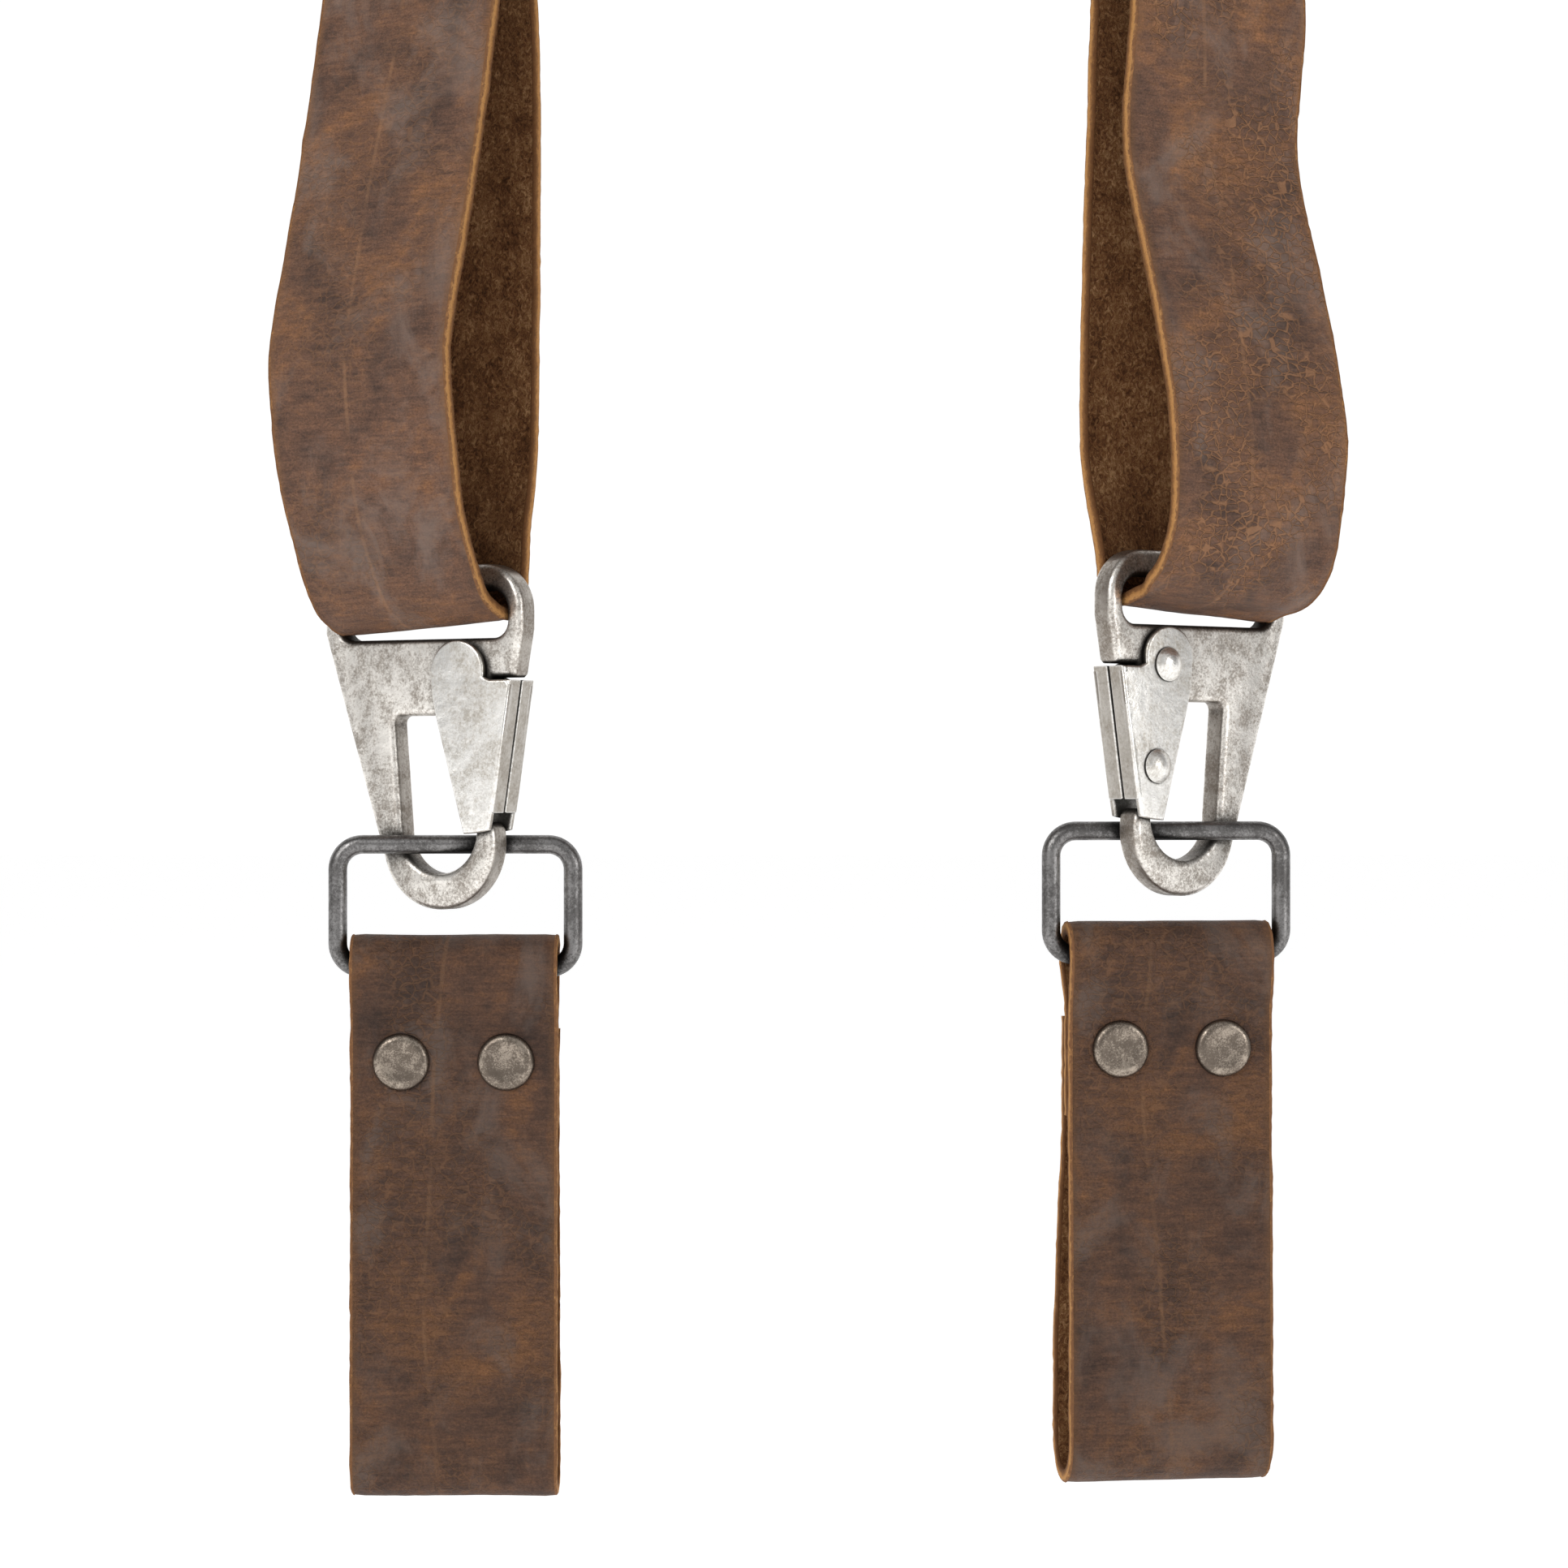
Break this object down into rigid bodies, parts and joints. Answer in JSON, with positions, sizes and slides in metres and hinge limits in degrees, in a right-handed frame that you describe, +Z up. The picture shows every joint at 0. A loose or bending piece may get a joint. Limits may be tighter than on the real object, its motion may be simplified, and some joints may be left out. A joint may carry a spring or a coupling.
{
  "type": "suspenders",
  "caption": "Leather Y-back suspenders with sprung snap hooks, wire rings and riveted belt loops, hanging over a rail.",
  "frame": {"origin": "middle of the rail's top, where the inside of the straps rests", "axes": "+Z up, -Y towards the front ends, +X to the viewer's right as seen from the front"},
  "size_m": [0.1869, 0.0904, 0.8082],
  "materials": {
    "leather": "oiled full-grain leather, matt, with pale pull-up marks",
    "antique_nickel": "antique nickel, worn bright on the edges",
    "gunmetal_wire": "dark gunmetal plating, satin",
    "spring_steel": "bare spring wire"
  },
  "bodies": {
    "harness": {"strap_left": "leather", "strap_right": "leather", "strap_back": "leather", "back_patch_outer": "leather", "back_patch_inner": "leather", "keeper_left": "leather", "keeper_right": "leather", "patch_rivet_caps": "antique_nickel", "patch_rivet_posts": "antique_nickel", "back_strap_rivet_caps": "antique_nickel", "back_strap_rivet_posts": "antique_nickel", "adjuster_screws": "antique_nickel", "adjuster_posts": "antique_nickel"},
    "left_hook": {"hook_body_left": "antique_nickel", "hook_pivot_rivet_left": "antique_nickel"},
    "left_gate": {"gate_left": "antique_nickel", "gate_lower_rivet_left": "antique_nickel", "gate_spring_left": "spring_steel"},
    "left_ring": {"ring_left": "gunmetal_wire"},
    "left_belt_loop": {"belt_loop_left": "leather", "belt_loop_caps_left": "antique_nickel", "belt_loop_posts_left": "antique_nickel"},
    "right_hook": {"hook_body_right": "antique_nickel", "hook_pivot_rivet_right": "antique_nickel"},
    "right_gate": {"gate_right": "antique_nickel", "gate_lower_rivet_right": "antique_nickel", "gate_spring_right": "spring_steel"},
    "right_ring": {"ring_right": "gunmetal_wire"},
    "right_belt_loop": {"belt_loop_right": "leather", "belt_loop_caps_right": "antique_nickel", "belt_loop_posts_right": "antique_nickel"},
    "back_hook": {"hook_body_back": "antique_nickel", "hook_pivot_rivet_back": "antique_nickel"},
    "back_gate": {"gate_back": "antique_nickel", "gate_lower_rivet_back": "antique_nickel", "gate_spring_back": "spring_steel"},
    "back_ring": {"ring_back": "gunmetal_wire"},
    "back_belt_loop": {"belt_loop_back": "leather", "belt_loop_caps_back": "antique_nickel", "belt_loop_posts_back": "antique_nickel"}
  },
  "joints": [
    {"name": "left_hook_swing", "type": "hinge", "parent": "harness", "child": "left_hook", "pos_m": [-0.067, -0.0212, -0.645], "axis": [0.8746, -0.4848, 0], "range_deg": [-15, 40]},
    {"name": "left_gate_open", "type": "hinge", "parent": "left_hook", "child": "left_gate", "pos_m": [-0.05913, -0.02556, -0.6625], "axis": [0.4848, 0.8746, 0], "range_deg": [0, 16], "stiffness_Nm_per_rad": 0.02, "springref_deg": -28.65},
    {"name": "left_ring_swing", "type": "hinge", "parent": "left_hook", "child": "left_ring", "pos_m": [-0.06224, -0.0229, -0.6915], "axis": [1, 0, 0], "range_deg": [-40, 40]},
    {"name": "left_belt_loop_swing", "type": "hinge", "parent": "left_ring", "child": "left_belt_loop", "pos_m": [-0.06224, -0.0229, -0.7132], "axis": [1, 0, 0], "range_deg": [-60, 60]},
    {"name": "right_hook_swing", "type": "hinge", "parent": "harness", "child": "right_hook", "pos_m": [0.067, -0.0212, -0.6426], "axis": [0.8039, 0.5948, 0], "range_deg": [-15, 40]},
    {"name": "right_gate_open", "type": "hinge", "parent": "right_hook", "child": "right_gate", "pos_m": [0.05976, -0.02655, -0.6601], "axis": [0.5948, -0.8039, 0], "range_deg": [0, 16], "stiffness_Nm_per_rad": 0.02, "springref_deg": -28.65},
    {"name": "right_ring_swing", "type": "hinge", "parent": "right_hook", "child": "right_ring", "pos_m": [0.0625, -0.02352, -0.6891], "axis": [0.9903, 0.1392, 0], "range_deg": [-40, 40]},
    {"name": "right_belt_loop_swing", "type": "hinge", "parent": "right_ring", "child": "right_belt_loop", "pos_m": [0.0625, -0.02352, -0.7108], "axis": [0.9903, 0.1392, 0], "range_deg": [-60, 60]},
    {"name": "back_hook_swing", "type": "hinge", "parent": "harness", "child": "back_hook", "pos_m": [0, 0.0212, -0.365], "axis": [-0.8829, 0.4695, 0], "range_deg": [-20, 20]},
    {"name": "back_gate_open", "type": "hinge", "parent": "back_hook", "child": "back_gate", "pos_m": [-0.00795, 0.02542, -0.3825], "axis": [-0.4695, -0.8829, 0], "range_deg": [0, 16], "stiffness_Nm_per_rad": 0.02, "springref_deg": -28.65},
    {"name": "back_ring_swing", "type": "hinge", "parent": "back_hook", "child": "back_ring", "pos_m": [-0.00479, 0.02284, -0.4115], "axis": [-1, 0, 0], "range_deg": [-40, 40]},
    {"name": "back_belt_loop_swing", "type": "hinge", "parent": "back_ring", "child": "back_belt_loop", "pos_m": [-0.00479, 0.02284, -0.4332], "axis": [-1, 0, 0], "range_deg": [-60, 60]}
  ]
}
